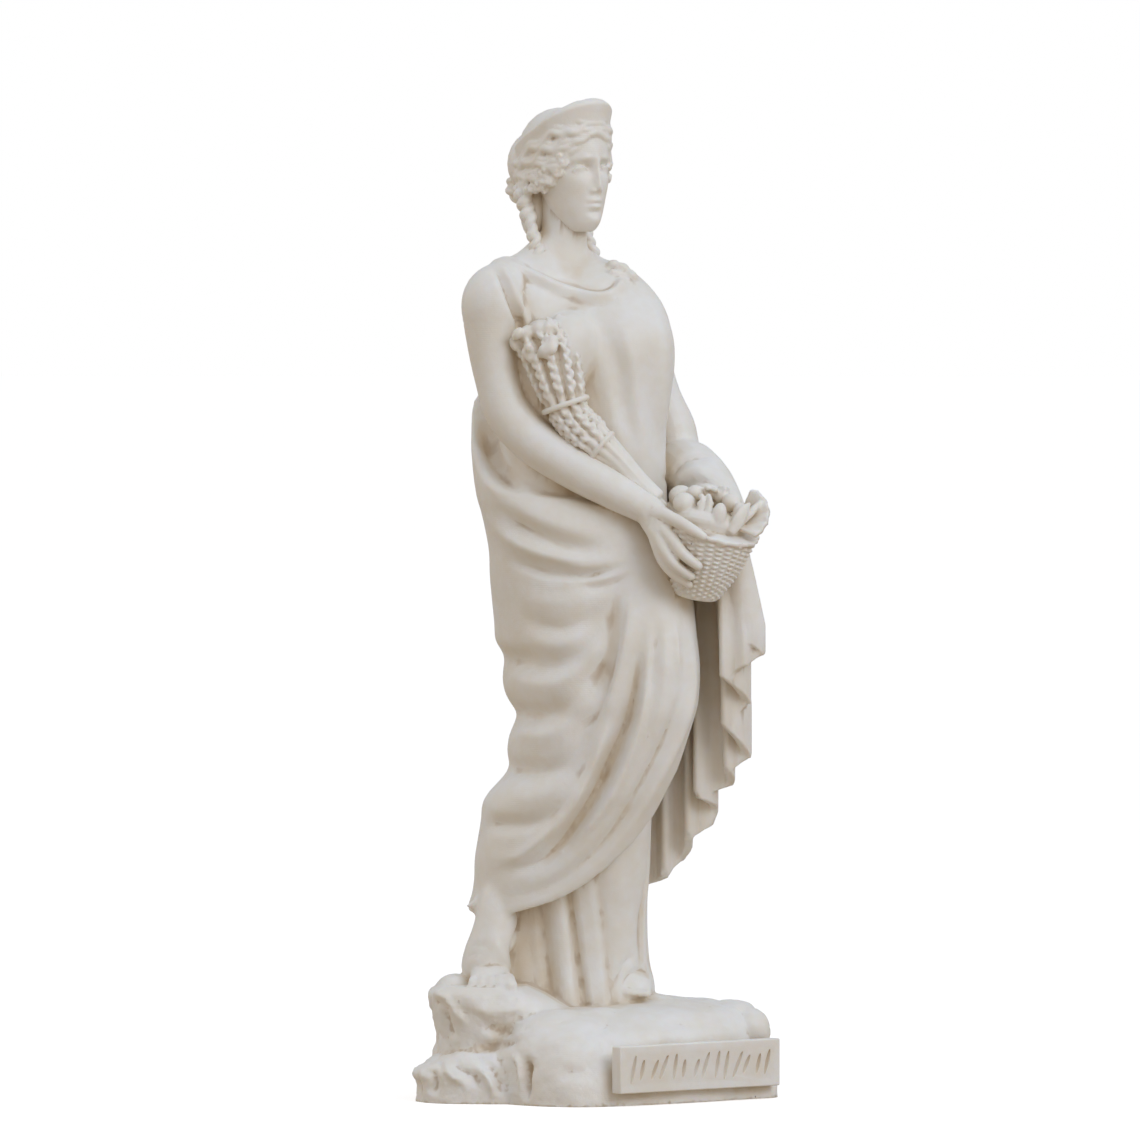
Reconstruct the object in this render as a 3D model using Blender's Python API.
"""Cast alabaster statuette of a harvest goddess on a rock base, as one closed solid.

She stands with her weight on her left leg, a sheaf of wheat in the crook of her right arm and a
basket of fruit between her hands. The figure faces -Y, so her right side is at -X. The casting is
built up as a sculptor builds clay: lumps, tapered rolls and lofted garments are laid over each
other and fused, the folds of the cloth are tooled into the fused skin, and the whole is cut off
flat at the underside. Forms are written in units of a 250th of the statuette's height.
"""

import math

import bmesh
import bpy
import numpy as np
from mathutils import Euler, Vector, noise
from mathutils.bvhtree import BVHTree

HEIGHT = 0.250  # of the whole casting, in metres
UNIT = HEIGHT / 250  # the length unit of every form below

CLOTH_GRAIN = 1.0  # voxel size of the fused garments
CAST_GRAIN = 1.0  # voxel size of the whole casting
CURTAIN_THICK = 3.2  # of the mantle's end
TRIANGLES = 9900  # that the finished solid is thinned to

DRAWN_FROM = -40  # bearing of the elevation that the cloth is drawn in; 0 is the front, 90 her left
BACK_DRAWN_FROM = 140  # bearing of the elevation behind it
CENTRE = (-2, -2, 0)  # the point of the drawing that stands at the origin
RAY_START = 200  # distance in front of the figure that the drawing rays start from


# ---------------------------------------------------------------- points and shells


def curve_through(points, count):
    """`count` rows along a smooth curve through the given rows of numbers."""
    p = np.array(points, float)
    p = np.vstack([2 * p[0] - p[1], p, 2 * p[-1] - p[-2]])
    t = np.linspace(0, len(p) - 3, count)
    i = np.minimum(t.astype(int), len(p) - 4)
    f = (t - i)[:, None]
    a, b, c, d = (p[i + k] for k in range(4))
    return 0.5 * (2 * b + (c - a) * f + (2 * a - 5 * b + 4 * c - d) * f**2 + (3 * b - a - 3 * c + d) * f**3)


def unit(vectors):
    """Rows scaled to length one."""
    return vectors / np.maximum(np.linalg.norm(vectors, axis=-1, keepdims=True), 1e-9)


def shell(rings):
    """(points, faces) of a closed skin over rings of equal count, its two ends filled."""
    rings = np.asarray(rings, float)
    count, sides = rings.shape[:2]
    ring, side = np.meshgrid(np.arange(count - 1), np.arange(sides), indexing="ij")
    after = (side + 1) % sides
    quads = np.stack(
        [ring * sides + side, ring * sides + after, (ring + 1) * sides + after, (ring + 1) * sides + side],
        axis=-1,
    ).reshape(-1, 4)
    ends = [list(range(sides))[::-1], list(range((count - 1) * sides, count * sides))]
    return rings.reshape(-1, 3), quads.tolist() + ends


def tube(rows, sides=18, count=None, up=(0, 0, 1)):
    """A tapered roll with round ends. A row is x, y, z, then its radius, or one across and one along up."""
    rows = [tuple(row) + tuple(row[3:]) * (len(row) == 4) for row in rows]
    rows = curve_through(rows, count or 7 * len(rows))
    centres, radii = rows[:, :3], np.abs(rows[:, 3:])
    along = unit(np.gradient(centres, axis=0))
    across = unit(np.cross(along, np.array(up, float)))
    over = np.cross(across, along)
    turns = np.linspace(0, 2 * math.pi, sides, endpoint=False)
    rings = []

    def ring(i, forward, share):
        middle = centres[i] + along[i] * forward * radii[i].mean()
        return middle + share * (
            np.outer(
                np.cos(turns) * radii[i, 0],
                across[i],
            ) + np.outer(np.sin(turns) * radii[i, 1], over[i])
        )

    caps = np.radians([80, 60, 40, 20])
    rings += [ring(0, -math.sin(a), math.cos(a)) for a in caps]
    rings += [ring(i, 0, 1) for i in range(len(centres))]
    rings += [ring(-1, math.sin(a), math.cos(a)) for a in caps[::-1]]
    return shell(rings)


def lump(centre, radii, turn=(0, 0, 0), sides=20):
    """An ellipsoid with these radii along x, y and z, turned by angles in degrees about them."""
    rise = np.radians(np.linspace(-86, 86, 13))
    turns = np.linspace(0, 2 * math.pi, sides, endpoint=False)
    level, high = np.cos(rise)[:, None], np.sin(rise)[:, None]
    ball = np.stack([level * np.cos(turns), level * np.sin(turns), high + 0 * np.array(turns)], axis=2)
    spin = np.array(Euler(np.radians(turn)).to_matrix())
    return shell((ball * np.array(radii, float)) @ spin.T + np.array(centre, float))


def seen(across, height, away=0.0, bearing=DRAWN_FROM):
    """The point that lies across, up and away in the elevation drawn from that bearing."""
    a = math.radians(bearing)
    return (
        across * math.cos(a) - away * math.sin(a),
        across * math.sin(a) + away * math.cos(a),
        height,
    )


def drawn(rows, bearing=DRAWN_FROM):
    """Tube rows whose first three numbers are across, height and away in that elevation."""
    return [seen(*row[:3], bearing) + tuple(row[3:]) for row in rows]


def at_level(levels, heights):
    """Rows of a garment's level table at these heights, smoothly between its levels."""
    fine = curve_through(levels, 12 * len(levels))
    fine = fine[np.argsort(fine[:, 0])]
    return np.stack([np.interp(heights, fine[:, 0], fine[:, k]) for k in range(1, fine.shape[1])], axis=-1)


def garment(levels, low, high, bearing=DRAWN_FROM, squareness=2.3, sides=180, rows=90, relief=None):
    """A closed loft round an upright axis, from height low to high, which may be functions of the angle.

    Each level is height, then in the elevation drawn from the bearing its left and right outline, its
    nearest and farthest depth, and how much nearer its right end lies than its left. The angle is 0
    towards the viewer and 90 to the right. Relief, if given, is a function of the place across, the
    height and the angle that says how far the skin stands out.
    """
    angles = np.linspace(0, 360, sides, endpoint=False)
    low = low(angles) if callable(low) else np.full(sides, float(low))
    high = high(angles) if callable(high) else np.full(sides, float(high))
    z = low + (high - low) * np.linspace(0, 1, rows)[:, None]
    left, right, near, far, skew = np.moveaxis(at_level(levels, z), -1, 0)
    sine, cosine = np.sin(np.radians(angles)), np.cos(np.radians(angles))
    rounding = (np.abs(sine) ** squareness + np.abs(cosine) ** squareness) ** (-1 / squareness)
    across = (left + right) / 2 + (right - left) / 2 * sine * rounding
    away = (near + far) / 2 - (far - near) / 2 * cosine * rounding - skew / 2 * sine * rounding
    if relief:
        stands_out = relief(across, z, np.broadcast_to(angles, z.shape))
        away = away - stands_out * cosine / np.maximum(np.hypot(sine, cosine), 1e-6)
    a = math.radians(bearing)
    x = across * math.cos(a) - away * math.sin(a)
    y = across * math.sin(a) + away * math.cos(a)
    return shell(np.stack([x, y, z], axis=-1))


def slab(grid, thickness):
    """A closed sheet of this thickness round a grid of points."""
    grid = np.asarray(grid, float)
    normal = unit(np.cross(np.gradient(grid, axis=0), np.gradient(grid, axis=1)))
    above, below = grid + normal * thickness / 2, grid - normal * thickness / 2
    return shell(np.concatenate([above, below[:, ::-1]], axis=1))


# ---------------------------------------------------------------- fusing and tooling


def mesh_object(name, shells):
    """One object that holds all of these shells."""
    points, faces, start = [], [], 0
    for p, f in shells:
        points.append(p)
        faces += [[start + k for k in face] for face in f]
        start += len(p)
    mesh = bpy.data.meshes.new(name)
    mesh.from_pydata(np.concatenate(points).tolist(), [], faces)
    made = bpy.data.objects.new(name, mesh)
    bpy.context.scene.collection.objects.link(made)
    return made


def apply_modifier(obj, kind, **settings):
    """Adds a modifier with these settings and applies it."""
    modifier = obj.modifiers.new(kind, kind)
    for key, value in settings.items():
        setattr(modifier, key, value)
    with bpy.context.temp_override(object=obj, active_object=obj, selected_objects=[obj]):
        bpy.ops.object.modifier_apply(modifier=modifier.name)


def points_of(obj):
    found = np.empty(len(obj.data.vertices) * 3)
    obj.data.vertices.foreach_get("co", found)
    return found.reshape(-1, 3)


def normals_of(obj):
    found = np.empty(len(obj.data.vertices) * 3)
    obj.data.vertex_normals.foreach_get("vector", found)
    return found.reshape(-1, 3)


def set_points(obj, points):
    obj.data.vertices.foreach_set("co", points.ravel())
    obj.data.update()


def fuse(name, shells, grain, smoothing):
    """One skin round all the shells: a voxel remesh, then so many rounds of smoothing."""
    made = mesh_object(name, shells)
    apply_modifier(made, "REMESH", mode="VOXEL", voxel_size=grain)
    keep_outer_skin(made)
    if smoothing:
        apply_modifier(made, "SMOOTH", factor=0.5, iterations=smoothing)
    return made


def keep_outer_skin(obj):
    """Removes the skins of the hollows left between lumps, so that one closed skin stays."""
    count = len(obj.data.vertices)
    ends = np.empty(len(obj.data.edges) * 2, int)
    obj.data.edges.foreach_get("vertices", ends)
    ends = ends.reshape(-1, 2)
    label = np.arange(count)
    while True:
        lowest = np.minimum(label[ends[:, 0]], label[ends[:, 1]])
        before = label.copy()
        np.minimum.at(label, ends[:, 0], lowest)
        np.minimum.at(label, ends[:, 1], lowest)
        label = label[label]
        if (label == before).all():
            break
    outer = label[np.argmax(points_of(obj)[:, 2])]
    loose = np.nonzero(label != outer)[0]
    if len(loose):
        for part in (obj.data.vertices, obj.data.edges, obj.data.polygons):
            part.foreach_set("select", np.zeros(len(part), bool))
        chosen = np.zeros(count, bool)
        chosen[loose] = True
        obj.data.vertices.foreach_set("select", chosen)
        bpy.context.view_layer.objects.active = obj
        bpy.ops.object.mode_set(mode="EDIT")
        bpy.ops.mesh.select_mode(type="VERT")
        bpy.ops.mesh.delete(type="VERT")
        bpy.ops.object.mode_set(mode="OBJECT")


def laid_on(obj, drawing, bearing=DRAWN_FROM, count=40):
    """Points where a curve drawn in that elevation, as (across, height) pairs, falls on the object."""
    tree = BVHTree.FromPolygons([v.co for v in obj.data.vertices], [p.vertices for p in obj.data.polygons])
    return laid_on_tree(tree, drawing, bearing, count)


def laid_on_tree(tree, drawing, bearing, count=40):
    away = Vector(seen(0, 0, 1, bearing))
    hits = []
    for across, height in curve_through(drawing, count):
        start = Vector(seen(across, height, -RAY_START, bearing))
        hit = tree.ray_cast(start, away)[0]
        if hit is not None:
            hits.append(hit)
    return np.array(hits)


def press(points, normals, path, width, rise, fade=0.25):
    """Moves the points near a path out along their normals by rise, or in where rise is negative.

    The stroke is a bell across the path. Its half width is one number, or one for the left and one for
    the right of the path's way. The rise may be one for the start and one for the end, and the stroke
    fades in and out over a share of its length.
    """
    if len(path) < 2:
        return
    widths = width if isinstance(width, tuple) else (width, width)
    reach = 2.2 * max(widths)
    inside = ((points > path.min(0) - reach) & (points < path.max(0) + reach)).all(axis=1)
    near = np.nonzero(inside)[0]
    best, along, leftness = np.full(len(near), 1e9), np.zeros(len(near)), np.zeros(len(near))
    steps = np.concatenate([[0], np.cumsum(np.linalg.norm(np.diff(path, axis=0), axis=1))])
    for i in range(len(path) - 1):
        a, d = path[i], path[i + 1] - path[i]
        offset = points[near] - a
        t = np.clip(offset @ d / max(d @ d, 1e-9), 0, 1)
        gap = np.linalg.norm(offset - t[:, None] * d, axis=1)
        closer = gap < best
        best[closer] = gap[closer]
        along[closer] = (steps[i] + t * (steps[i + 1] - steps[i]))[closer] / steps[-1]
        leftness[closer] = (np.cross(d, offset[closer]) * normals[near[closer]]).sum(1)
    ends = np.clip(np.minimum(along, 1 - along) / max(fade, 1e-6), 0, 1)
    ends = ends * ends * (3 - 2 * ends)
    shape = np.exp(-((best / np.where(leftness > 0, *widths)) ** 2))
    first, last = rise if isinstance(rise, tuple) else (rise, rise)
    points[near] += normals[near] * ((first + (last - first) * along) * shape * ends)[:, None]


def tool(obj, strokes, bearing=DRAWN_FROM):
    """Tools strokes into an object's skin. Each stroke is a half width, a rise and a drawing."""
    tree = BVHTree.FromPolygons([v.co for v in obj.data.vertices], [p.vertices for p in obj.data.polygons])
    points, normals = points_of(obj), normals_of(obj)
    normals[:, 2] *= np.clip((points[:, 2] - 60) / 40, 0, 1)  # so that the hems stay level
    for width, rise, drawing in strokes:
        press(points, normals, laid_on_tree(tree, drawing, bearing), width, rise)
    set_points(obj, points)


def between(first, last, share):
    """The curve that lies this share of the way from one guide curve to another."""
    first, last = curve_through(first, 12), curve_through(last, 12)
    return first + (last - first) * share


# ---------------------------------------------------------------- the figure's forms

# Garment levels: height, left and right outline, nearest and farthest depth, skew. The torso is
# drawn from the front, the cloth below it from DRAWN_FROM.
TORSO = [
    (126, -22, 16, -9, 25, 0),
    (140, -22.5, 16.5, -8, 25, 0),
    (150, -21.5, 15.5, -6, 24, 0),
    (160, -20.5, 15, -6, 23.5, 0),
    (170, -21.5, 15.5, -6.5, 23, 0),
    (180, -22.5, 17, -7.5, 22.5, 0),
    (188, -23, 17.5, -7, 22, 0),
    (196, -23, 18, -3.5, 22, 0),
    (203, -23, 18, 0.5, 21, 0),
    (208, -20, 12.5, 4, 19.5, 0),
    (212, -11, 5, 6, 17.5, 0),
]
CHEST = [
    (146, -22, 16.2, -13, 20, 6),
    (155, -22, 16.2, -12, 20, 6),
    (166, -22, 16.7, -12, 20, 6),
    (175, -23, 18.2, -12, 20, 6),
    (183, -24, 19.4, -12.5, 20, 6),
    (190, -24, 19.4, -12, 19, 6),
    (197, -24, 17.4, -9, 18, 4),
    (202, -24, 14.4, -5, 17, 2),
    (206, -23, 10.0, -1, 16, 0),
    (209, -18, 5, 3, 14, 0),
]
CHITON = [
    (20, -24, 14.5, -9, 22, 4),
    (28, -23, 14, -8, 22, 4),
    (34, -22, 12.7, -8, 22, 4),
    (45, -22, 12.3, -9, 22, 5),
    (60, -20, 13, -12, 21, 6),
    (90, -17, 14, -14, 18, 8),
    (130, -20, 14, -12, 20, 4),
]
MANTLE = [
    (44, -33.0, 13, -13, 22.5, 2),
    (47, -33.0, 13, -13.5, 22.5, 2),
    (50.5, -31.8, 13.6, -14.6, 21.8, 3),
    (55, -31.2, 14.6, -16, 21, 5),
    (59, -31.2, 15.5, -17, 20.5, 6),
    (64, -30.4, 16.3, -18, 19.5, 8),
    (69.5, -29.5, 17, -19, 18.5, 10),
    (73, -29.3, 17.8, -19.5, 17.7, 12),
    (76, -27.6, 18.4, -20, 17.2, 14),
    (79.4, -24.4, 19.4, -20.3, 16.5, 15),
    (82.4, -22.4, 20.5, -20.5, 16, 16),
    (86, -23.0, 21.4, -20.8, 15.7, 17),
    (90, -22.6, 22.4, -21, 15.5, 18),
    (93, -21.3, 23.2, -21, 15.5, 19),
    (95.8, -20.4, 24.0, -21, 15.5, 20),
    (98, -22.0, 24.6, -21, 15.6, 20),
    (101, -23.6, 25.0, -20.8, 16, 20),
    (105, -24.2, 25.2, -20.5, 16.5, 20),
    (110, -23.7, 25.1, -20.5, 17, 19),
    (114, -26.0, 24.6, -20.2, 17.3, 18),
    (118, -26.2, 24.2, -20, 17.5, 16.5),
    (125, -26.9, 23.5, -19.5, 18.5, 14),
    (131, -27.4, 22.5, -19, 18.5, 11),
    (137, -28.0, 22, -18.5, 19.5, 8),
    (146, -29.0, 18, -17.5, 20, 4),
    (150, -29.9, 15, -15.5, 20.5, 0),
    (157, -30.9, 14, -13, 21.5, 0),
    (166, -31.2, 13, -11, 22, 0),
    (176, -30.1, 12, -10, 21.5, 0),
    (186, -24, 9, -9, 18, 0),
]
# Angle round the mantle, 0 towards DRAWN_FROM, then the height of its lower and of its upper edge.
MANTLE_EDGES = [
    (-180, 50, 180),
    (-130, 48, 180),
    (-90, 46.5, 166),
    (-70, 45.5, 158),
    (-50, 45.5, 153),
    (-25, 46.5, 151),
    (0, 50, 150),
    (20, 56, 148),
    (38, 63, 147),
    (52, 70, 146),
    (64, 78, 147),
    (76, 88, 148),
    (86, 100, 150),
    (96, 112, 152),
    (106, 100, 156),
    (125, 70, 168),
    (150, 54, 176),
    (180, 50, 180),
]


def edge(column):
    """A function that gives the mantle's lower (1) or upper (2) edge at an angle."""
    fine = curve_through(MANTLE_EDGES, 300)

    def height(angles):
        return np.interp((angles + 180) % 360 - 180, fine[:, 0], fine[:, column])

    return height


# The chiton's folds under the mantle's hem: place across at height 40, and how far the cloth stands out.
SKIRT_FOLDS = [
    (-24, 0.0),
    (-19.6, 0.2),
    (-17.4, 0.7),
    (-15.4, 0.2),
    (-13.7, -1.9),
    (-12.2, -0.2),
    (-10.2, 0.9),
    (-7.8, 0.6),
    (-5.8, -2.5),
    (-4.6, 0.3),
    (-3.4, 0.8),
    (-2.4, 0.3),
    (-1.2, 0.9),
    (0.2, 0.6),
    (1.2, -0.5),
    (2.4, 0.3),
    (4.6, 0.8),
    (7.2, 0.9),
    (8.7, 0.4),
    (9.8, -0.5),
    (11.6, -0.2),
    (14, 0.0),
]
FOLD_SLANT = 0.13  # across per unit of height, so that the folds spread to her left as they fall


def skirt_relief(across, height, angles):
    """The folds in front, and even folds round the back and the sides."""
    fine = curve_through(SKIRT_FOLDS, 300)
    in_front = np.interp(across - FOLD_SLANT * (40 - height), fine[:, 0], fine[:, 1])
    behind = 1.1 * np.cos(np.radians(angles * 17)) + 0.5 * np.cos(np.radians(angles * 29 + 40))
    cosine = np.cos(np.radians(angles))
    return np.where(cosine > 0, in_front * np.clip(cosine * 2, 0, 1), behind * np.clip(-cosine * 2, 0, 1))


def torso():
    """The chiton over chest and waist, swelling over the breasts."""
    return [
        garment(TORSO, 126, 212, bearing=0),
        garment(CHEST, 146, 209),
        lump((-12.5, -2.6, 186), (9.5, 7.5, 11), (15, 0, 0)),
        lump((7.5, -5.5, 187), (8.5, 8, 10), (15, 0, 0)),
        tube([(7, -7, 183, 7), (8, -7.5, 172, 6), (8, -8, 160, 5.5), (8, -8, 146, 6)]),
        tube([(-6, 12, 211.5, 6), (-13, 12, 207, 5.8), (-20, 12, 204.6, 5.8)]),
    ]


def skirts():
    """Chiton and mantle below the waist, with the legs that push them out."""
    return [
        garment(CHITON, 20, 66, sides=360, rows=60, relief=skirt_relief),
        garment(CHITON, 60, 130),
        garment(MANTLE, edge(1), edge(2)),
        tube([(-13, 9, 134, 11), (-14, 2, 112, 11), (-13, -2, 92, 10), (-15, 0, 72, 8.5)]),
        tube(
            drawn(
                [
                    (-25, 49, -4, 5.2, 6), (-26, 42, -5.5, 5.6, 6.2), (-27.8, 36, -6, 6, 6.4),
                    (-28.4, 33, -5, 6.2, 6),
                ],
                DRAWN_FROM,
            ),
            up=(0.64, 0.77, 0),
        ),
        tube(drawn([(-19, 50, 2, 6), (-18, 38, 3, 7), (-17.5, 30, 3, 8), (-17, 25, 3, 8)])),
        lump(seen(9.4, 28, -2.8), (4.6, 5.6, 3.6), (0, 0, DRAWN_FROM)),
        tube(drawn([(-28, 49.3, -3, 2.2), (-31.4, 48.2, -3, 1.2), (-33.6, 47.6, -3, 0.5)])),
    ]


# Turns of the hem of the mantle's end in the elevation from DRAWN_FROM: across, away, height.
PLEATS = [
    (31, -7, 119),
    (36, -11.5, 115),
    (41, -9.5, 111.6),
    (36, -12, 108),
    (31, -11.5, 105),
    (37.6, -4.5, 98.4),
    (31.4, -6, 92.4),
    (38.2, 0.5, 84.6),
    (32, -1, 81.2),
    (32.6, 4, 77.4),
    (24.6, 2.5, 74.6),
    (29, 7.5, 72),
    (28.4, 9, 67.6),
    (21.6, 6.5, 64.4),
    (20.8, 12.5, 58),
    (15, 10.5, 54.6),
    (11.5, 15, 52),
    (4, 14, 52),
]
FOREARM = [(25, 3, 157), (24, -6, 156), (21.5, -15, 153), (19, -23, 149.5), (17, -30, 146.5)]


def curtain():
    """The end of the mantle, hung in pleats over her left forearm with its hem falling to the back."""
    hem = np.array([seen(across, height, away) for across, away, height in curve_through(PLEATS, 170)])
    top = curve_through(FOREARM[::-1], 170)
    top[:, :2] += 0.2 * (hem[:, :2] - top[:, :2])
    grid = []
    for share in np.linspace(0, 1, 60):
        ease = min(1, 1.25 * share) ** 0.8
        flat = top[:, :2] + (hem[:, :2] - top[:, :2]) * ease
        grid.append(np.column_stack([flat, top[:, 2] + (hem[:, 2] - top[:, 2]) * share]))
    return [slab(grid, CURTAIN_THICK)]


def left_arm():
    """Her left upper arm, bare, and the forearm wrapped in the mantle."""
    wrap = [p + (r,) for p, r in zip(FOREARM, (7.5, 7.5, 7, 6, 4.5))]
    return [
        tube(
            [
                (16, 11.5, 202, 5.8), (18.5, 9.5, 196, 6.2), (20.5, 6.5, 186, 5.8), (23, 3, 175, 5.5),
                (25.2, 0, 163, 5.5),
            ],
        ),
        tube(wrap),
        tube([(18.5, -29, 146, 4), (16, -32, 141, 3.8), (13.5, -32, 135, 3.6), (10, -32, 128, 3)]),
    ]


def right_arm():
    """Her bare right arm, bent forwards, with the hand round the side of the basket."""
    palm = [(12, 147.5, -21, 3.6, 3.2), (15.5, 143.5, -23, 4.4, 3.0), (17.5, 140, -25, 4.6, 2.6)]
    fingers = [
        [
            (13, 147.4, -22, 2.2), (17, 146.2, -25, 2.0), (20.5, 144.4, -28, 1.7),
            (23.2, 142.6, -29.8, 1.6), (25.4, 141.3, -30.4, 1.25),
        ],
        [(14, 145, -23.5, 2.2), (18, 141.4, -27.6, 2.0), (21, 138.2, -29.6, 1.75), (24.3, 135, -29.2, 1.4)],
        [
            (14, 142.6, -24.4, 2.0), (16.8, 138.8, -27.4, 1.8), (19.4, 135.9, -28.6, 1.6),
            (23.2, 133, -27.8, 1.3),
        ],
        [
            (14, 140.4, -24.6, 1.8), (16.6, 136, -26.2, 1.55), (19.4, 133.4, -26.8, 1.4),
            (24.2, 130.9, -25.6, 1.1),
        ],
    ]
    arm = tube(
        [
            (-20.5, 11.5, 205, 6.2),
            (-25.2, 11, 199.8, 8.3),
            (-26, 10.5, 190, 7),
            (-25.5, 9, 180, 6.2),
            (-24, 6.5, 171.5, 5.8),
            (-20.5, 1, 164.5, 5.8),
            (-15, -7.5, 158, 5.4),
            (-9.5, -16, 152.5, 4.7),
            (-3.5, -24.5, 147, 3.7),
        ],
        sides=40,
    )
    return [arm, tube(drawn(palm), up=(0.64, 0.77, 0))] + [tube(drawn(finger)) for finger in fingers]


BASKET_FOOT = (24, 125.6, -16.5)  # across, height, away
BASKET_MOUTH = (27.5, 144.3, -19.5)
BASKET_LEAN = (0.3, 0.92, -0.25)  # the way out of its mouth
FRUIT = [  # across, height, away, then radii across, up and away
    (21.2, 149.2, -22, 2.9, 2.7, 2.9),
    (24, 151.6, -18, 2.2, 2.0, 2.2),
    (27.5, 151.8, -17, 2.2, 1.9, 2.2),
    (30.5, 151, -18, 2.0, 2.0, 2.0),
    (25.3, 147.5, -25, 1.0, 3.4, 1.0),
    (27.2, 147.8, -25.5, 0.9, 3.4, 1.0),
    (29.9, 146.6, -26.5, 1.8, 2.9, 1.8),
    (33, 149.3, -21, 2.5, 2.4, 2.5),
    (34.6, 146.2, -24, 1.6, 3.4, 1.8),
    (20.5, 150.5, -15, 3.2, 3.0, 3.2),
    (27, 151, -11, 3.4, 2.8, 3.4),
    (33, 148.5, -13, 3.0, 2.8, 3.0),
]


def basket():
    """The tapering basket, the fruit heaped in it and the leaf that hangs over its rim."""
    foot, mouth = np.array(seen(*BASKET_FOOT)), np.array(seen(*BASKET_MOUTH))
    axis = unit(np.array(seen(*BASKET_LEAN)))
    across = unit(np.cross(axis, (0, 0, 1.0)))
    over = np.cross(across, axis)
    turns = np.linspace(0, 2 * math.pi, 54, endpoint=False)
    rings = []
    for share, radius in (
        (0, 4.2), (0, 5.4), (0.3, 8.2), (0.6, 10.4), (0.85, 11.7), (0.93, 12.0), (0.94, 12.8), (1, 12.8),
    ):
        centre = foot + (mouth - foot) * share
        lean = unit((mouth - foot) * (1 - share) / 19 + axis * share)
        side = unit(np.cross(over, lean))
        top = np.cross(lean, side)
        rings.append(centre + radius * (np.outer(np.cos(turns), side) + np.outer(np.sin(turns), top)))
    heap = [lump(seen(27.5, 144.5, -19.5), (10.8, 10.8, 5.2), (0, 15, 0))]
    for across_, height, away, wide, tall, deep in FRUIT:
        heap.append(lump(seen(across_, height, away), (wide, deep, tall), (0, 8, DRAWN_FROM)))
    leaf = []
    for share in np.linspace(0, 1, 8):
        row = []
        for turn in np.linspace(-40, 40, 15):
            a = math.radians(turn)
            reach = 2 + 6.2 * share + 0.5 * share * math.cos(math.radians(turn * 18))
            row.append(
                seen(
                    34 + reach * math.cos(a) * 1.05,
                    143.5 + reach * math.sin(a) + 3.0 * share,
                    -21 + 4 * math.sin(a),
                ),
            )
        leaf.append(row)
    return [shell(rings)] + heap + [slab(leaf, 1.5)]


SHEAF = [  # across, height, away, radius, from the ears down to the cut stalks
    (-16, 193, -12.5, 6.6),
    (-13, 187.5, -14, 7.0),
    (-10, 179, -15, 5.6),
    (-7.2, 171, -15.5, 4.2),
    (-1.5, 165, -16, 4.3),
    (4.5, 159.8, -16.5, 2.9),
    (10, 154, -17, 2.2),
    (16, 148.5, -18, 1.8),
]


def sheaf():
    """The sheaf of wheat that leans in the crook of her right arm, tied twice."""
    spine = curve_through(SHEAF, 60)
    along = unit(np.gradient(spine[:, :3], axis=0))
    across = unit(np.cross(along, (0, 0, 1.0)))
    over = np.cross(across, along)
    forms = [tube(drawn([row[:3] + (row[3] * 0.72,) for row in SHEAF]))]
    for k in range(10):
        turn = math.radians(36 * k + 10)
        row = []
        for i in range(0, 38, 3):
            out = 0.78 * spine[i, 3]
            place = spine[i, :3] + out * (across[i] * math.cos(turn) + over[i] * math.sin(turn))
            row.append(tuple(place) + (1.35 + 0.25 * math.sin(2.2 * i + k),))
        forms.append(tube(drawn(row), sides=10))
        head = spine[0, :3] + 0.9 * spine[0, 3] * (across[0] * math.cos(turn) + over[0] * math.sin(turn))
        forms.append(lump(seen(*(head + (0, 1.5 * math.sin(5.0 * k), 0))), (2.1, 2.1, 2.4)))
    for i, radius in ((23, 5.4), (38, 4.0)):
        ring = []
        for turn in np.radians(np.arange(0, 361, 30)):
            place = spine[i, :3] + radius * (across[i] * math.cos(turn) + over[i] * math.sin(turn))
            ring.append(tuple(place) + (0.9,))
        forms.append(tube(drawn(ring), sides=10))
    return forms


HEAD_AT = (-2.5, 7.2, 217.3)  # below the middle of the head, level with the chin
HEAD_TURN = 0  # degrees about the neck, towards her left
HAIR = (10.4, 11.9, 17.5)  # the dressed hair's reach to the sides, front and back of (0, 2.5)


def turned(points):
    """Points of the head's own frame, face towards -y and chin at height 0, set on the neck."""
    points = np.array(points, float)
    a = math.radians(HEAD_TURN)
    x, y = points[..., 0], points[..., 1]
    points[..., 0], points[..., 1] = x * math.cos(a) - y * math.sin(a), x * math.sin(a) + y * math.cos(a)
    return points + HEAD_AT


def head_tube(rows, **keys):
    return tube([tuple(turned(row[:3])) + tuple(row[3:]) for row in rows], **keys)


def head_lump(centre, radii, turn=(0, 0, 0)):
    return lump(turned(centre), radii, (turn[0], turn[1], turn[2] + HEAD_TURN))


def round_head(bearing, height, out=0.0):
    """A point on the hair at a bearing from the face's middle and a height above the chin."""
    a = math.radians(bearing)
    depth = HAIR[1] if math.cos(a) > 0 else HAIR[2]
    return ((HAIR[0] + out) * math.sin(a), 2.5 - (depth + out) * math.cos(a), height)


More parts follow.
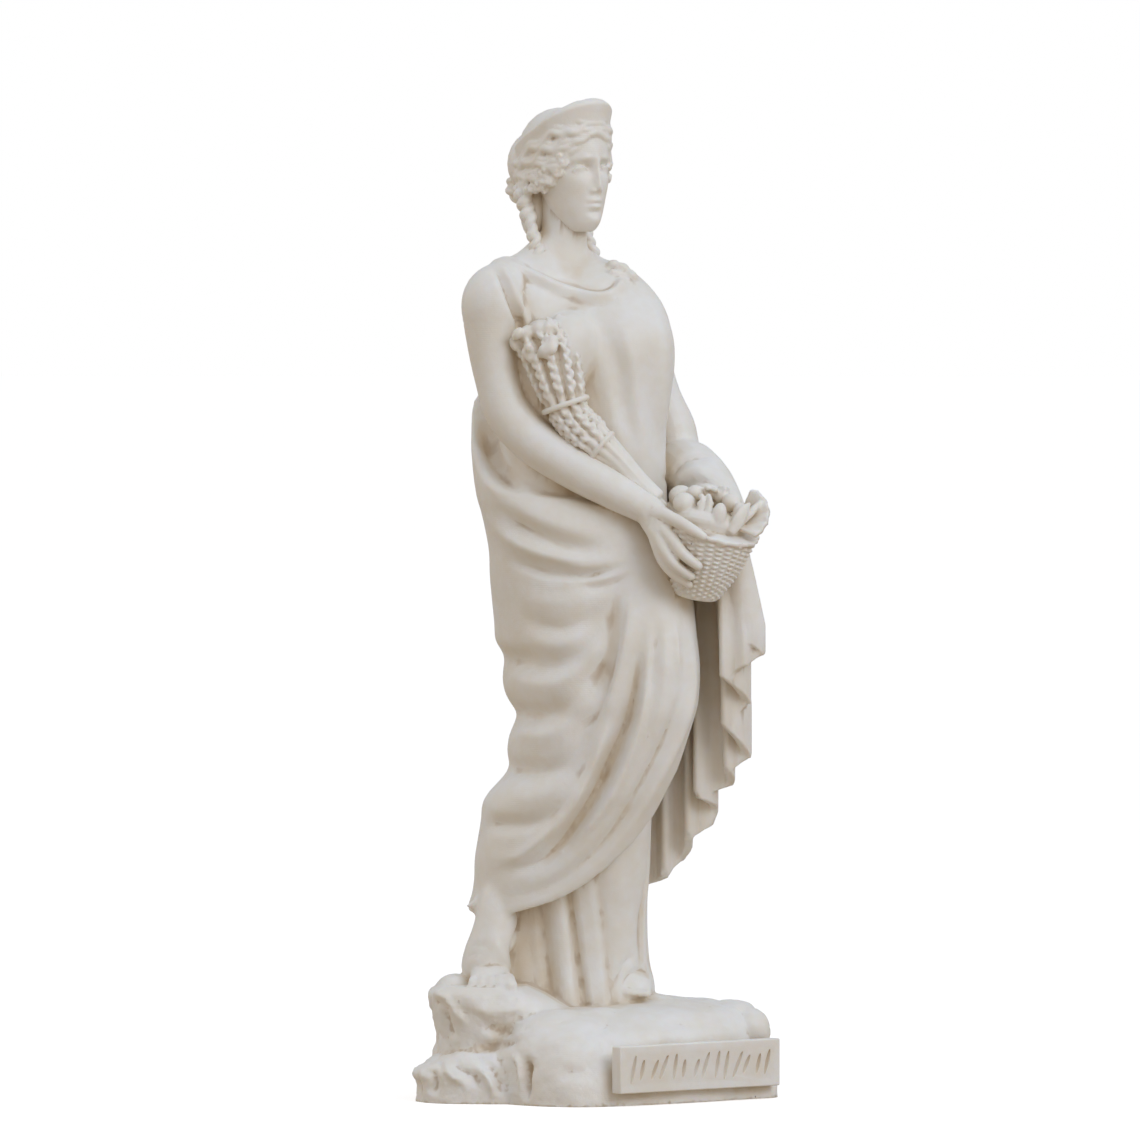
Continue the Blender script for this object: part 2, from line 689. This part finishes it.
def face():
    """Neck and face, on the proportions that drawing books give: eyes halfway up, nose a third."""
    forms = [
        tube([(-3, 13, 202, 10), (-3, 12, 206, 8.2), (-3, 11, 210, 6.5), (-3, 10.2, 214, 5.9)]),
        tube([(-3, 10.4, 212, 6.0), (-2.8, 9.8, 219, 5.8), (-2.6, 9.6, 228, 6.2)]),
        head_lump((0, 3, 19), (9.2, 12, 11.3)),
        head_lump((0, -1.8, 10.6), (7.5, 7.9, 10.6)),
        head_lump((0, -3.4, 20), (7.4, 6.4, 7)),
        head_lump((0, -6.2, 2.7), (3.1, 3.0, 2.7)),
        head_tube([(0, -8.9, 17.6, 1.0), (0, -10.0, 13.6, 1.0), (0, -11.3, 10.2, 1.3)]),
        head_lump((0, -11.2, 9.7), (1.25, 1.35, 1.1)),
    ]
    for side in (-1, 1):
        forms += [
            head_lump((side * 4.4, -5.4, 11.5), (3.2, 3.2, 3.8)),
            head_lump((side * 1.35, -9.9, 9.2), (0.95, 1.2, 0.85)),
            head_tube(
                [
                    (side * 1.0, -9.3, 17.2, 0.8), (side * 3.8, -9.0, 18.0, 0.9),
                    (side * 6.6, -6.8, 16.8, 0.8),
                ],
            ),
            head_lump((side * 3.9, -6.9, 15.2), (2.3, 2.0, 1.7)),
            head_lump((side * 8.4, 1.2, 11.5), (1.0, 1.8, 3.2)),
        ]
    forms += [
        head_tube(
            [
                (-2.3, -8.8, 6.1, 0.4), (-0.9, -9.8, 6.5, 0.7), (0, -9.95, 6.25, 0.6),
                (0.9, -9.8, 6.5, 0.7), (2.3, -8.8, 6.1, 0.4),
            ],
        ),
        head_tube([(-1.8, -8.8, 5.2, 0.5), (0, -9.6, 4.8, 0.85), (1.8, -8.8, 5.2, 0.5)]),
    ]
    return forms


def hair():
    """Hair parted over the brow and waved back to a knot, a ringlet behind each ear, and the diadem."""
    forms = [
        head_lump((0, 4.5, 17.5), (10.6, 13.6, 12.2)),
        head_lump((0, 10, 14), (9.6, 8.5, 7)),
        head_lump((0, 13, 16), (9.4, 7.5, 9)),
        head_lump((0, 17.4, 10.3), (6.2, 5.4, 5)),
    ]
    chance = np.random.default_rng(11)
    for side in (-1, 1):
        for row in range(5):
            strand = []
            for bearing in range(2, 126, 5):
                share = bearing / 125
                height = 26.6 - 1.15 * row - (5.4 + 1.4 * row) * share - 3.5 * share**2
                wave = math.sin(math.radians(bearing * 12 + 70 * row))
                out = -2.0 + 0.9 * math.sin(math.pi * min(1, share * 1.6)) + 0.35 * wave
                strand.append(round_head(side * bearing, height + 0.45 * wave, out) + (1.05,))
            forms.append(head_tube(strand, sides=10))
        for _ in range(16):
            bearing, height = chance.uniform(48, 100), chance.uniform(12, 19)
            forms.append(head_lump(round_head(side * bearing, height, -0.7), (1.25, 1.25, 1.15)))
        forms.append(head_lump((side * 6, 7.5, 7), (3, 3, 5)))
        ringlet = []
        for share in np.linspace(0, 1, 26):
            twist = share * 5.5 * 2 * math.pi
            x = side * (8.3 - 0.6 * share) + 0.55 * math.cos(twist)
            y = 8.8 - 6.2 * share + 0.55 * math.sin(twist)
            ringlet.append((x, y, 8 - 15.5 * share, 1.45 - 0.35 * share + 0.25 * math.sin(2 * twist)))
        forms.append(head_tube(ringlet, count=70, sides=12))
    grid = []
    for share in np.linspace(0, 1, 5):
        row = []
        for bearing in np.linspace(-124, 124, 45):
            arch = math.cos(math.radians(bearing * 90 / 112))
            rise = 3.0 + 2.2 * max(arch, 0)
            swell = 0.7 * math.sin(math.pi * share)
            row.append(round_head(bearing, 17.6 + 9.6 * arch + rise * share, swell - 0.6))
        grid.append(turned(row))
    forms.append(slab(grid, 2.2))
    return forms


NECKLINE = [
    (-26, 208.6),
    (-22.7, 208.3),
    (-17, 206),
    (-11.2, 203.2),
    (-5.5, 201.2),
    (-1, 200.3),
    (2.7, 200.8),
    (5, 202.6),
    (5.8, 205.2),
]


def collar(cloth):
    """The chiton's rolled neck edge, laid on the cloth, and the bunch at the pin on her left shoulder."""
    path = laid_on(cloth, NECKLINE)
    rows = [tuple(p) + (2.0, 0.9) for p in path[::3]]
    return [
        tube(rows, count=60, up=(-0.45, -0.5, 0.75)),
        tube(
            drawn([(1.4, 207, -1, 1.3), (3.4, 208.6, 0.6, 1.5), (5.8, 207.6, 2, 1.6), (7, 205.6, 2, 1.4)]),
        ),
        lump((10.5, 7.5, 206.4), (4.2, 4.5, 2.4), (0, 25, 0)),
    ]


# Rocks, drawn from DRAWN_FROM like the garments: the ground slab from the front, then the rock under
# her right foot, the ridged one before it, and the boulder behind the name plate.
GROUND = [
    (-2, -37, 34, -33, 33, 0),
    (6, -37, 34, -32, 33, 0),
    (14, -36, 32, -28, 32, 0),
    (20, -33, 29, -22, 29, 0),
    (23, -28, 24, -16, 25, 0),
]
PLATE_MIDDLE, PLATE_HALF = (2.7, -34.4, 9.2), (26.1, 1.7, 5.9)
FOOT_ROCK = [
    (-2, -41, -6, -25, 16, 0),
    (9, -40, -7, -25, 16, 0),
    (13, -39.8, -7, -24.5, 16, 0),
    (17, -40.6, -6, -25, 16, 0),
    (22, -42, -6, -25.5, 15, 0),
    (26.5, -42.6, -7, -25, 14, 0),
    (28.5, -39.5, -9, -23.5, 12, 0),
]
RIDGED_ROCK = [
    (-2, -46, -18, -30, -4, 4),
    (4, -45.2, -17, -30, -4, 4),
    (7, -46.4, -18, -29.5, -4, 4),
    (9, -44.6, -20, -28.5, -5, 4),
    (12.5, -38, -24, -26, -8, 4),
]
BOULDER = [
    (-2, -32, 36, -33.5, 20, 0),
    (8, -31.5, 36, -33.3, 20, 0),
    (12, -30, 36, -32.6, 20, 0),
    (16, -27, 35.4, -31.5, 19, 0),
    (19, -21, 34.4, -30, 18, 0),
    (22, -13, 32.6, -27, 16, 0),
    (23.6, -5, 30, -22, 13, 0),
    (24.8, 4, 26, -15, 10, 0),
]
FOOTING = [(-2, -36, 34, -33, 32, 0), (3.2, -36, 34, -33, 32, 0)]


def rocks():
    """The rocks she stands on, and the name plate on the front."""
    return [
        garment(GROUND, -2, 23, bearing=0, squareness=4),
        garment(FOOT_ROCK, -2, 28.5, squareness=3),
        lump(seen(-36, 27, -4), (5, 8, 4), (0, 0, DRAWN_FROM)),
        garment(RIDGED_ROCK, -2, 12.5, squareness=3),
        garment(BOULDER, -2, 24.8, bearing=0, squareness=3),
        garment(FOOTING, -2, 3.2, bearing=0, squareness=8),
        lump(seen(14, 22.4, 2), (7, 7, 3.6)),
        lump(seen(33, 20.6, 2), (6, 7, 4.0)),
        lump(seen(38.4, 16.8, -2), (5.2, 5.2, 5.6)),
        mesh_box(PLATE_MIDDLE, PLATE_HALF),
    ]


def roughen(obj):
    """Breaks the rocks' skin into ledges, deepest on her right, and leaves name plate and figure smooth."""
    points, normals = points_of(obj), normals_of(obj)
    for i in np.nonzero(points[:, 2] < 32)[0]:
        x, y, z = points[i]
        if y < -31 and -26 < x < 31 and z < 17:
            continue
        from_figure = math.hypot((x + 3) / 19, (y - 6) / 15) - 1
        cover = min(1, max(0, (29 - z) / 3)) * min(1, max(0, max(from_figure * 3, (22 - z) / 4)))
        if cover <= 0:
            continue
        across = 0.766 * x - 0.643 * y
        strength = 0.35 + 0.4 * min(1, max(0, (-6 - across) / 12))
        place = Vector((x, y, z * 1.5))
        cells = noise.voronoi(place / 8.5)[0]
        ledges = 2 * min(0.45, cells[1] - cells[0]) - 0.5
        grain = noise.noise(place / 4.5) + 0.5 * noise.noise(place / 2)
        points[i] += normals[i] * (cover * strength * (1.5 * ledges + 0.7 * grain))
    set_points(obj, points)


def mesh_box(centre, half):
    x, y, z = centre
    a, b, c = half
    ring = [(-a, -b), (a, -b), (a, b), (-a, b)]
    return shell([[(x + p, y + q, z + r) for p, q in ring] for r in (-c, c)])


def feet():
    """Her bare right foot on the higher rock, and the toes of the left under the chiton."""
    forms = [
        tube(drawn([(-27.6, 34, -3, 5), (-27.2, 31.5, -8, 4.9, 3.6), (-27, 30, -14, 5.2, 2.3)]), sides=30),
        lump(seen(-27, 30, -1), (6, 6, 4)),
    ]
    for k in range(5):
        root, middle = (-31 + 2.1 * k, 30.2, -13.6 - 0.5 * k), (-31.4 + 2.25 * k, 30.1, -16 - 0.6 * k)
        tip = (-31.6 + 2.4 * k, 28.9, -18.2 - 0.8 * k)
        thick = 1.15 + 0.14 * k
        forms.append(tube(drawn([root + (thick,), middle + (thick * 0.9,), tip + (thick,)])))
        forms.append(lump(seen(tip[0], tip[1] + 0.75, tip[2] - 0.3), (0.75, 0.75, 0.4), sides=10))
    forms.append(tube(drawn([(8.8, 27.4, -3.6, 3.2), (9, 26.6, -6.4, 3.4, 2.2)]), sides=30))
    return forms


# ---------------------------------------------------------------- the folds

# The line under the chiton's neck edge, and the armhole.
NECKLINES = [
    (
        1.0, -0.9,
        [(-25, 206.4), (-17, 203.4), (-11, 200.8), (-5.5, 198.8), (-1, 198), (3, 198.4), (6.4, 200.4)],
    ),
]
ARMHOLE = [
    (1.0, -1.8, [(-29, 208.6), (-25.5, 206.4), (-23.4, 203), (-21.6, 198.5), (-20, 194.5), (-18.5, 189)]),
    (1.0, 0.9, [(-27, 209.6), (-23.6, 207), (-21.6, 203.6), (-19.8, 199), (-18, 194.6), (-16.4, 190)]),
]

# Each fold: half width, or half widths to the left and right of its way, rise, then its line in the
# elevation from DRAWN_FROM as (across, height).
FOLDS = [
    # the rolled upper edge of the mantle, from her right hip to under the basket
    (2.2, 0.9, [(-25, 152), (-20, 148), (-14, 145), (-8, 143), (-1.5, 141.6), (4, 142)]),
    (1.6, -1.2, [(-27, 150), (-22, 144.6), (-15, 141), (-8.7, 138.6), (-2, 138), (4, 139)]),
    (
        (1.6, 2.6), 1.6,
        [(-29, 147), (-24, 141.6), (-18, 138), (-11, 135.6), (-4, 134.6), (3, 135.6), (9, 138)],
    ),
    (
        (2.6, 1.2), -1.9,
        [(-24, 136), (-20, 133.6), (-15, 132.2), (-10, 131.3), (-4, 131), (1, 132), (6, 134), (10, 136)],
    ),
    (1.5, 0.9, [(-10, 133.4), (-3, 132.8), (3, 133.8), (9, 136)]),
    (1.3, 1.2, [(-12, 130.6), (-4, 130.2), (2, 130.8), (8, 133)]),
    ((0.7, 1.2), -1.5, [(-8, 129.4), (-4.5, 128.9), (-1, 128.6), (2, 129.2), (6, 130.6), (9, 132.4)]),
    # swags that hang across the right thigh from the knot under the basket
    (2.6, 0.6, [(-22, 127), (-15, 125.4), (-8, 125.2), (-2, 126.6), (3, 128)]),
    ((1.0, 1.6), -0.7, [(-20, 123), (-15, 121.7), (-9, 121.5), (-4, 123), (0, 125.2), (3, 126.6)]),
    ((1.6, 1.0), 0.5, [(-10, 110.8), (-6, 113), (-3.4, 116), (-1, 119.3), (1.4, 123)]),
    (0.9, -0.45, [(-19, 111.8), (-14, 112.4), (-9.6, 113.4)]),
    (
        (2.4, 2.0), (-1.4, -0.3),
        [(-27, 111), (-23, 109.2), (-19, 108), (-14, 107.4), (-9, 108.6), (-5, 111.4)],
    ),
    (3.0, 0.5, [(-25, 104.4), (-18, 103.2), (-12, 103), (-6, 105.6)]),
    ((2.2, 2.2), (-1.5, -0.2), [(-24, 94.4), (-20, 96.6), (-15, 98.6), (-10, 99.6), (-6, 101.6)]),
    (2.4, 0.4, [(-20, 94.2), (-14, 94.6), (-9, 96.4), (-4, 100)]),
    (2.0, (-0.5, -0.3), [(-20, 89), (-15, 88.6), (-11, 89.8), (-7, 92.6), (-4, 96)]),
    (2.4, 0.4, [(-23, 86), (-17, 85.4), (-12, 86.2), (-7.6, 89.6)]),
    ((2.2, 2.0), (-1.4, -0.3), [(-26, 83), (-21, 81.8), (-15, 81.4), (-11, 83), (-7.6, 86), (-5, 90)]),
    ((1.8, 1.2), 0.6, [(-26, 71), (-20, 71), (-15, 72), (-11, 74.2), (-8, 77.6), (-5.8, 82), (-4.4, 86)]),
    (
        (1.8, 1.8), (-1.2, -0.5),
        [(-31, 69.4), (-27, 68.6), (-22, 68.2), (-18, 68.4), (-13, 70.4), (-9.4, 73.6), (-6.6, 77.6)],
    ),
    # the long folds that fall from the knot and sweep round the right shin
    (1.7, -1.2, [(4.6, 129), (3.4, 124), (1.9, 118), (0.6, 112), (-0.6, 106)]),
    (
        (2.8, 1.1), 1.7,
        [(8.4, 130), (7.8, 123), (6.6, 115), (5.2, 108), (3.4, 101.5), (0.6, 95), (-1.6, 90), (-4, 85)],
    ),
    (
        (0.9, 1.6),
        1.5,
        [
            (5.2, 104), (3.4, 97), (1.4, 91), (-1, 84.6), (-4.6, 77), (-8.4, 71), (-12, 66.8), (-17, 62.6),
            (-21, 60.4), (-28, 59.2),
        ],
    ),
    (
        (2.8, 1.2),
        -3.6,
        [
            (10, 121), (9.3, 112), (8, 103.5), (6, 96), (3.8, 90), (1.2, 84), (-2, 77), (-6, 70),
            (-10.5, 64), (-15, 60), (-20, 58), (-28, 56.6),
        ],
    ),
    (
        (1.0, 2.2),
        1.6,
        [
            (13, 125), (12.4, 114), (11.8, 104), (10.6, 95), (7.8, 86), (5, 79.4), (1.6, 73.6), (-3, 68),
            (-8, 63.4), (-13, 59.8), (-19, 55.6), (-28, 52.8),
        ],
    ),
    (0.9, -0.5, [(14.8, 121), (14, 114), (13, 107), (12.4, 100)]),
    (1.6, 0.7, [(16.4, 124), (16.8, 114), (16.4, 104), (14.4, 95), (11, 86)]),
    (
        (2.6, 1.3),
        -2.0,
        [
            (19.6, 119), (20.6, 111), (21, 104), (19.6, 98), (16.6, 91), (13.6, 85), (10.4, 79), (7, 73),
            (3, 67), (-2, 61.6), (-8, 56.2), (-14, 52.8), (-20, 51), (-29, 50),
        ],
    ),
    ((0.8, 1.0), 0.9, [(19, 121), (19.4, 115), (19.8, 110), (19.8, 105)]),
    (
        (1.8, 2.2),
        1.3,
        [
            (22.6, 123), (23.2, 115), (23.6, 108), (23.4, 102), (21.6, 95), (18.6, 88), (15.6, 82),
            (12.6, 76.6), (9, 71), (4.6, 65.6), (0, 61), (-6, 55.6), (-12, 51.4), (-19, 48.6), (-28, 48),
        ],
    ),
    # the chiton over the chest
    ((1.2, 2.0), -0.6, [(-4, 201), (-1.6, 197), (0.6, 192), (2, 186), (2.4, 178)]),
    ((1.4, 1.2), -0.7, [(3.4, 203), (4.4, 196), (4.8, 189), (5, 182), (5.2, 174), (6.8, 163), (8, 155)]),
    (2.2, -0.6, [(-1, 187), (1.4, 176), (4, 167), (8.6, 154)]),
    ((1.6, 2.4), -0.9, [(10.2, 190), (10.6, 180), (10.4, 171), (11, 163), (13.4, 152)]),
    ((1.8, 1.2), 0.7, [(13.6, 188), (13, 178), (12.6, 169), (14, 156)]),
    ((1.4, 2.0), -1.4, [(17, 188), (15.9, 179), (14.9, 171), (14.4, 164), (15.4, 154)]),
    (1.8, -0.4, [(9, 205), (11.6, 200), (13.8, 194)]),
    (2.0, -0.4, [(-17.4, 206), (-16.4, 199), (-14.6, 192)]),
    # the mantle behind the forearm
    (1.8, -2.4, [(-29.6, 172), (-28.6, 166), (-26.4, 160), (-23, 155), (-18, 151)]),
    (1.6, 1.0, [(-31, 166), (-29.6, 158), (-26.6, 152.6), (-22, 149)]),
    ((0.8, 1.3), -1.2, [(-19.4, 48), (-20.4, 42), (-21.6, 37), (-21.2, 31)]),
    # creases over the instep
    (0.8, -0.45, [(-33, 37.4), (-30, 38.4), (-26.6, 37.4)]),
    (0.8, -0.45, [(-33.6, 35.6), (-30, 36.4), (-26.6, 35)]),
    ((1.0, 1.4), 0.8, [(-27, 42), (-25.4, 38.6), (-23.6, 35), (-21.8, 31)]),
]


# The thigh's swags, carried round her right side: drawn from bearing -110.
SIDE_SWAGS = [
    (2.2, (-0.4, -1.0), [(-16, 104), (-8, 107), (0, 109.4), (8, 110.4), (16, 110)]),
    (2.0, (-0.4, -1.2), [(-16, 88), (-8, 92), (0, 94.6), (8, 95.6), (16, 95.8)]),
    (2.0, (-0.4, -1.0), [(-16, 74), (-8, 79), (0, 82), (8, 82.8), (16, 82.6)]),
    (2.0, (-0.4, -0.8), [(-14, 64), (-6, 67), (2, 69), (10, 69.6), (18, 69)]),
]


def back_folds():
    """Folds behind, drawn from BACK_DRAWN_FROM: swags from her left elbow down to her right side."""
    first = [(-13, 168), (0, 161), (14, 160), (28, 166)]
    last = [(-12, 96), (-4, 74), (9, 58), (27, 54)]
    folds = []
    for k in range(7):
        folds.append(((2.2, 3.6), 1.3, between(first, last, (k + 0.1) / 7)))
        folds.append(((2.6, 1.3), -1.5, between(first, last, (k + 0.55) / 7)))
    for k in range(5):
        folds.append((1.6, -0.9, [(-4 + 6 * k, 204 - 1.5 * k), (-2 + 5 * k, 192), (0 + 4.4 * k, 180)]))
    return folds


def side_folds():
    """Folds of the chiton on her left, drawn from bearing 50."""
    folds = []
    for k in range(5):
        folds.append(((1.1, 1.6), -1.9, [(-8 + 5.5 * k, 90), (-8 + 5.5 * k, 55), (-9 + 6 * k, 26)]))
    for k in range(4):
        folds.append((1.6, -0.9, [(1 + 4 * k, 200), (0 + 4.5 * k, 182), (1 + 4.5 * k, 165)]))
    return folds


def thin(obj, triangles):
    """Thins a mesh out to about this many triangles."""
    obj.data.calc_loop_triangles()
    share = triangles / len(obj.data.loop_triangles)
    apply_modifier(obj, "DECIMATE", ratio=share, use_collapse_triangulate=True)


def cut_flat(obj):
    """Cuts off what lies under the ground plane and closes the cut with a flat face."""
    made = bmesh.new()
    made.from_mesh(obj.data)
    everything = made.verts[:] + made.edges[:] + made.faces[:]
    down = (0, 0, -1)
    cut = bmesh.ops.bisect_plane(made, geom=everything, plane_co=(0, 0, 0), plane_no=down, clear_outer=True)
    rim = [e for e in cut["geom_cut"] if isinstance(e, bmesh.types.BMEdge)]
    bmesh.ops.triangle_fill(made, edges=rim, use_beauty=True)
    bmesh.ops.recalc_face_normals(made, faces=made.faces[:])
    made.to_mesh(obj.data)
    made.free()


def alabaster():
    """Cast alabaster: warm white, satin."""
    material = bpy.data.materials.new("alabaster")
    material.use_nodes = True
    surface = material.node_tree.nodes["Principled BSDF"]
    surface.inputs["Base Color"].default_value = (0.79, 0.76, 0.7, 1)
    surface.inputs["Roughness"].default_value = 0.45
    return material


def main():
    for obj in list(bpy.data.objects):
        bpy.data.objects.remove(obj)
    cloth = fuse("cloth", torso() + skirts(), CLOTH_GRAIN, 4)
    edging = collar(cloth)
    tool(cloth, FOLDS + NECKLINES)
    tool(cloth, back_folds(), BACK_DRAWN_FROM)
    tool(cloth, side_folds(), 50)
    tool(cloth, SIDE_SWAGS, -110)
    points = points_of(cloth)
    faces = [list(p.vertices) for p in cloth.data.polygons]
    bpy.data.objects.remove(cloth)
    rest = edging + curtain() + left_arm() + right_arm() + basket() + sheaf() + face() + hair()
    rest += rocks() + feet()
    statue = fuse("statue", [(points, faces)] + rest, CAST_GRAIN, 1)
    roughen(statue)
    tool(statue, ARMHOLE)
    set_points(statue, (points_of(statue) - CENTRE) * UNIT)
    thin(statue, TRIANGLES)
    cut_flat(statue)
    statue.data.materials.append(alabaster())


main()
